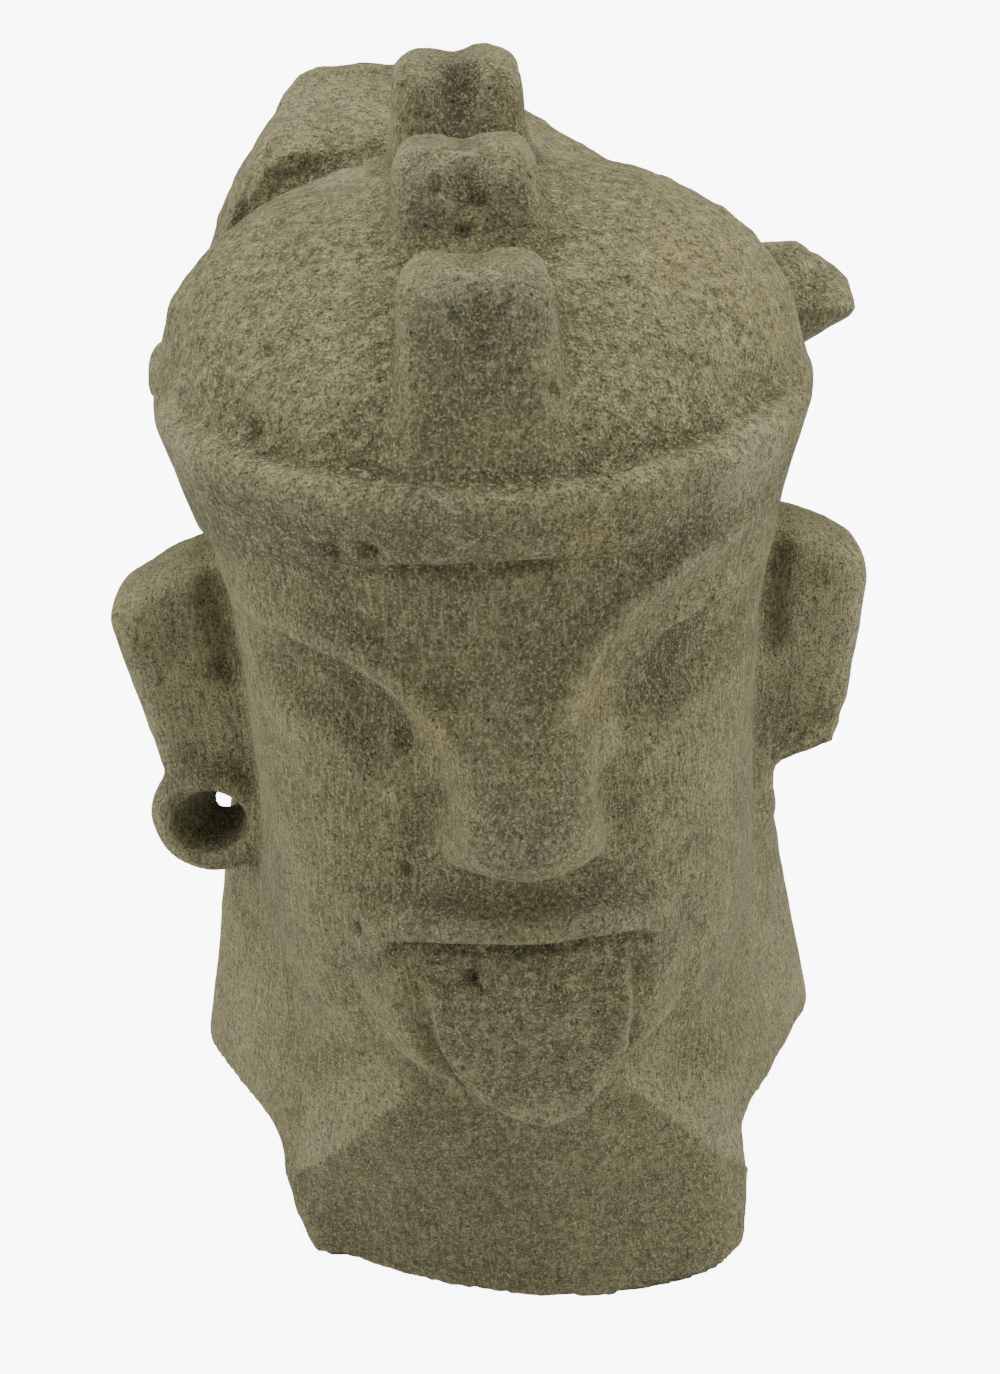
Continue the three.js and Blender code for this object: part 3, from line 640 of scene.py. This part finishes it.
def weathered(points, faces):
    """The carved surface with its worn edges, tool marks and broken faces, and masks of how it looks."""
    pairs = np.concatenate([faces[:, [i, (i + 1) % 4]] for i in range(4)])
    pairs = np.unique(np.concatenate([pairs, pairs[:, ::-1]]), axis=0)
    degree = np.bincount(pairs[:, 0], minlength=len(points)).astype(float)
    on_floor = points[:, 2] < ON_FLOOR

    near = neighbour_mean(points, pairs, degree, WEAR["near"])
    normals = normals_of(near, faces)
    convex = np.einsum("ij,ij->i", points - near, normals)
    chip = smoothstep(*WEAR["edge"], convex) * smoothstep(*WEAR["where"], noise(points, WEAR["lump"], 3))
    share = WEAR["smoothed"] + WEAR["chip_smoothed"] * chip
    worn = points + (neighbour_mean(points, pairs, degree, WEAR["wide"]) - points) * share[:, None]

    parts = regions(points)
    rough = WEAR["plain"] + added(parts, RELIEF)
    depth = WEAR["chip_depth"] * chip
    for seed, (size, deep, stretch, by_part) in enumerate(UNEVEN, 11):
        depth += deep * (1 + noise(points, size, seed, (1, 1, stretch))) * (rough if by_part else 1)
    for middle, radius, deep in PITS:
        far = np.linalg.norm(points - middle, axis=1) / radius
        depth += deep * np.exp(-far ** 3)
    shaped = worn - normals * depth[:, None]
    shaped[on_floor, 2] = 0

    wide = neighbour_mean(shaped, pairs, degree, WEAR["hollow"])
    ragged = noise(points, WEAR["ragged"], 21)
    masks = {
        # Concavity: the stone is darker where this is high, partly dirt and partly painted shade, and paler on convex
        # edges.
        "hollow": np.einsum("ij,ij->i", wide - shaped, normals),
        "coarse": np.clip(added(parts, COARSE_STONE), 0, 1),
        "patina and painted shade": np.clip(added(parts, PATINA_AND_PAINTED_SHADE), 0, 1),
    }
    masks.update({name: patched(points, patches, ragged) for name, patches in PATCHES.items()})
    # Painted light on the upward-facing neck slope joins the pale patches.
    masks["pale patch and painted light"] = np.maximum(masks["pale patch and painted light"], NECK_PAINTED_LIGHT * parts["neck"])
    return shaped, masks


def patched(points, patches, ragged):
    """How strongly a point lies in any of some patches, each a middle and a radius, with ragged edges."""
    value = np.zeros(len(points))
    for *middle, radius, strength in patches:
        far = np.linalg.norm(points - middle, axis=1) / radius + 0.35 * ragged
        value = np.maximum(value, strength * smoothstep(1.15, 0.45, far))
    return value


def stone_mesh():
    low = np.array([-121, -117, -GRID_ROOM], float)
    high = np.array([120, 94, 392], float)
    low[2] = -CELL * 3
    axes = [grid_axis(a, b) for a, b in zip(low, high)]
    points, faces = surface_net(axes, sampled(axes))
    points, masks = weathered(points, faces)
    corner_low, corner_high = (np.array(corner) / MM for corner in cad_box)
    margin = np.array([ON_FLOOR, ON_FLOOR, 0])
    points = np.clip(points, corner_low + margin, corner_high - margin)

    mesh = bpy.data.meshes.new("carved_head")
    mesh.vertices.add(len(points))
    mesh.vertices.foreach_set("co", (points * MM).astype(np.float32).ravel())
    mesh.loops.add(faces.size)
    mesh.loops.foreach_set("vertex_index", faces.astype(np.int32).ravel())
    mesh.polygons.add(len(faces))
    mesh.polygons.foreach_set("loop_start", np.arange(0, faces.size, 4, dtype=np.int32))
    mesh.update(calc_edges=True)
    mesh.validate()
    mesh.polygons.foreach_set("use_smooth", np.ones(len(mesh.polygons), bool))
    for name, values in masks.items():
        mesh.attributes.new(name, "FLOAT", "POINT").data.foreach_set("value", values.astype(np.float32))
    print("stone mesh:", len(points), "points,", 2 * len(faces), "triangles")
    return mesh


# Stone.
def node(tree, kind, inputs=None, **settings):
    """A shader node with its settings and its inputs, which are values or other nodes' outputs."""
    made = tree.nodes.new(kind)
    for name, value in settings.items():
        setattr(made, name, value)
    for key, value in (inputs or {}).items():
        if isinstance(value, bpy.types.NodeSocket):
            tree.links.new(value, made.inputs[key])
        else:
            made.inputs[key].default_value = value
    return made


def srgb(red, green, blue, alpha=1.0):
    """An eight-bit screen colour as the linear one that Blender takes."""
    linear = [(v / 255 / 12.92) if v <= 10 else ((v / 255 + 0.055) / 1.055) ** 2.4 for v in (red, green, blue)]
    return (*linear, alpha)


# Noise patterns, with their scale per metre, detail and roughness.
GRAINS = {
    "broad": (16, 4, 0.6), "blotch": (75, 5, 0.7), "lump": (340, 3, 0.6), "crumb": (520, 4, 0.72),
    "speck": (1400, 2, 0.7), "dust": (3400, 2, 0.6),
}
FIBRE = (950, 3, 0.65)
FIBRE_STRETCH = (1, 1, 0.16)
PIT_SCALE = 360

# The ground colour, and the tones over it: pattern, where it begins, where it is full, its strength there, its colour.
GROUND = ("broad", 0.38, 0.64, (111, 107, 76), (133, 128, 94))
TONES = [
    ("blotch", 0.48, 0.7, 0.65, (90, 87, 66)),
    ("blotch", 0.46, 0.3, 0.5, (148, 142, 98)),
    # Patina and painted shade: darker on the front faces and under the band.
    ("patina and painted shade", 0, 1, 0.6, (86, 82, 60)),
    ("grey patch", 0, 1, 0.8, (80, 79, 66)),
    ("ochre patch", 0, 1, 0.75, (152, 139, 80)),
    # Paler stone patches, and painted light on the neck slope.
    ("pale patch and painted light", 0, 1, 0.55, (170, 166, 130)),
    # Darker in hollows, partly dirt and partly painted shade such as under the tongue's tip; paler on convex edges.
    ("hollow", 0.1, 1.3, 0.45, (68, 64, 45)),
    ("hollow", -0.15, -1.1, 0.35, (160, 155, 118)),
    ("dark lump", 0, 1, 0.55, (70, 66, 48)),
    ("pale lump", 0, 1, 0.55, (172, 167, 124)),
    ("crumb", 0.52, 0.66, 0.6, (62, 58, 42)),
    ("crumb", 0.45, 0.32, 0.5, (168, 163, 120)),
    ("speck", 0.54, 0.66, 0.7, (54, 51, 37)),
    ("speck", 0.43, 0.32, 0.65, (188, 183, 141)),
    ("dark fibre", 0, 1, 0.42, (68, 65, 48)),
    ("pale fibre", 0, 1, 0.38, (176, 171, 131)),
    ("pit", 0, 1, 0.8, (42, 39, 29)),
]
# How much each pattern raises the surface.
HEIGHTS = {"crumb": -0.8, "speck": -0.6, "dust": 0.15, "coarse lump": -1.8, "upright fibre": -0.45, "round pit": -0.4}
BUMP = {"Strength": 0.9, "Distance": 0.0018}


def stone_material():
    """Weathered stone: pitted and lumpy where it is coarse, upright tool marks elsewhere, patches of patina and painted
    shade, dirt and painted shade in hollows, painted light on the neck slope.
    """
    material = bpy.data.materials.new("weathered_stone")
    material.use_nodes = True
    tree = material.node_tree
    tree.nodes.clear()
    place = node(tree, "ShaderNodeTexCoord").outputs["Object"]

    def grain(vector, scale, detail, rough):
        return node(tree, "ShaderNodeTexNoise", {
            "Vector": vector, "Scale": scale, "Detail": detail, "Roughness": rough,
        }).outputs["Fac"]

    def ramp(value, low, high, to_low=0.0, to_high=1.0):
        return node(tree, "ShaderNodeMapRange", {
            "Value": value, "From Min": low, "From Max": high, "To Min": to_low, "To Max": to_high,
        }).outputs["Result"]

    def maths(operation, a, b):
        return node(tree, "ShaderNodeMath", {0: a, 1: b}, operation=operation).outputs[0]

    def mixed(factor, under, over):
        made = node(tree, "ShaderNodeMix", {0: factor, 7: over}, data_type="RGBA")
        if isinstance(under, bpy.types.NodeSocket):
            tree.links.new(under, made.inputs[6])
        else:
            made.inputs[6].default_value = under
        return made.outputs[2]

    look = {name: grain(place, *sizes) for name, sizes in GRAINS.items()}
    for name in ("hollow", "coarse", "patina and painted shade", "pale patch and painted light"):
        look[name] = node(tree, "ShaderNodeAttribute", attribute_name=name).outputs["Fac"]
    for name, blotchy in (("grey patch", (0.3, 0.6, 0.5, 1)), ("ochre patch", (0.6, 0.3, 0.3, 1))):
        patch = node(tree, "ShaderNodeAttribute", attribute_name=name).outputs["Fac"]
        look[name] = maths("MULTIPLY", patch, ramp(look["blotch"], *blotchy))

    upright = node(tree, "ShaderNodeMapping", {"Vector": place, "Scale": FIBRE_STRETCH}).outputs["Vector"]
    fibre, fibrous = grain(upright, *FIBRE), ramp(look["coarse"], 0, 1, 1, 0.1)
    cells = node(tree, "ShaderNodeTexVoronoi", {"Vector": place, "Scale": PIT_SCALE}).outputs["Distance"]
    look["round pit"] = ramp(cells, 0.2, 0.06)
    look["coarse lump"] = maths("MULTIPLY", look["lump"], look["coarse"])
    look["upright fibre"] = maths("MULTIPLY", fibre, fibrous)
    look["pit"] = maths("MULTIPLY", look["round pit"], ramp(look["crumb"], 0.45, 0.6))
    look["dark lump"] = maths("MULTIPLY", look["coarse"], ramp(look["lump"], 0.5, 0.66))
    look["pale lump"] = maths("MULTIPLY", look["coarse"], ramp(look["lump"], 0.46, 0.32))
    look["dark fibre"] = maths("MULTIPLY", fibrous, ramp(fibre, 0.53, 0.66))
    look["pale fibre"] = maths("MULTIPLY", fibrous, ramp(fibre, 0.45, 0.32))

    ground, begins, full, darker, lighter = GROUND
    colour = mixed(ramp(look[ground], begins, full), srgb(*darker), srgb(*lighter))
    for pattern, begins, full, strength, tone in TONES:
        colour = mixed(ramp(look[pattern], begins, full, 0, strength), colour, srgb(*tone))

    height = 0.0
    for pattern, raised in HEIGHTS.items():
        height = maths("ADD", maths("MULTIPLY", look[pattern], raised), height)
    bump = node(tree, "ShaderNodeBump", {**BUMP, "Height": height}).outputs["Normal"]
    shader = node(tree, "ShaderNodeBsdfPrincipled", {
        "Base Color": colour, "Roughness": ramp(look["speck"], 0.3, 0.7, 0.86, 0.97), "Normal": bump,
        "Specular IOR Level": 0.25,
    })
    node(tree, "ShaderNodeOutputMaterial", {"Surface": shader.outputs["BSDF"]})
    return material


stone = stone_material()
carved = bpy.data.objects.new("carved_head", stone_mesh())
bpy.context.scene.collection.objects.link(carved)
carved.data.materials.append(stone)
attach(carved, "root")
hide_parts("stone_head")


# Floor, light and camera.
def floor_material():
    """Matt near-white paper, which the camera sees as bright as a lit backdrop."""
    material = bpy.data.materials.new("pale_floor")
    material.use_nodes = True
    tree = material.node_tree
    shader = tree.nodes["Principled BSDF"]
    shader.inputs["Base Color"].default_value = (0.8, 0.8, 0.8, 1)
    shader.inputs["Roughness"].default_value = 0.9
    shader.inputs["Emission Color"].default_value = (1, 1, 1, 1)
    direct = tree.nodes.new("ShaderNodeLightPath").outputs["Is Camera Ray"]
    glow = node(tree, "ShaderNodeMath", {0: direct, 1: 8.0}, operation="MULTIPLY").outputs[0]
    tree.links.new(glow, shader.inputs["Emission Strength"])
    return material


floor_mesh = bpy.data.meshes.new("floor")
floor_mesh.from_pydata([(-4, -4, 0), (4, -4, 0), (4, 4, 0), (-4, 4, 0)], [], [(0, 1, 2, 3)])
floor_mesh.materials.append(floor_material())
floor = bpy.data.objects.new("floor", floor_mesh)
bpy.context.scene.collection.objects.link(floor)

world = bpy.data.worlds.new("studio")
world.use_nodes = True
sky = world.node_tree.nodes["Background"]
seen = world.node_tree.nodes.new("ShaderNodeLightPath").outputs["Is Camera Ray"]
strength = node(world.node_tree, "ShaderNodeMapRange", {"Value": seen, "To Min": 0.38, "To Max": 8.0})
world.node_tree.links.new(strength.outputs["Result"], sky.inputs["Strength"])
sky.inputs["Color"].default_value = (1, 1, 1, 1)
bpy.context.scene.world = world


def softbox(name, place, power, size):
    """A square area light that points at the middle of the head."""
    light = bpy.data.lights.new(name, "AREA")
    light.energy = power
    light.size = size
    lamp = bpy.data.objects.new(name, light)
    lamp.location = place
    lamp.rotation_euler = (Vector((0, 0, 0.19)) - Vector(place)).to_track_quat("-Z", "Y").to_euler()
    bpy.context.scene.collection.objects.link(lamp)


softbox("overhead", (0.0, 0.15, 1.5), 24, 1.0)
softbox("left side", (-1.3, -0.25, 0.3), 16, 0.9)
softbox("right side", (1.3, -0.35, 0.3), 18, 0.9)

EYE_POINT = Vector((-16.0, -455.3, 478.9)) * MM
FORWARD = Vector((0.0296, 0.8475, -0.5299))
RIGHT = Vector((0.9976, -0.058, -0.037))
lens = bpy.data.cameras.new("camera")
lens.sensor_width = 36
lens.lens = 43.46
lens.clip_start = 0.01
camera = bpy.data.objects.new("camera", lens)
up = RIGHT.cross(FORWARD).normalized()
turned = Matrix((RIGHT.normalized(), up, -FORWARD.normalized())).transposed()
camera.matrix_world = Matrix.Translation(EYE_POINT) @ turned.to_4x4()
bpy.context.scene.collection.objects.link(camera)
bpy.context.scene.camera = camera
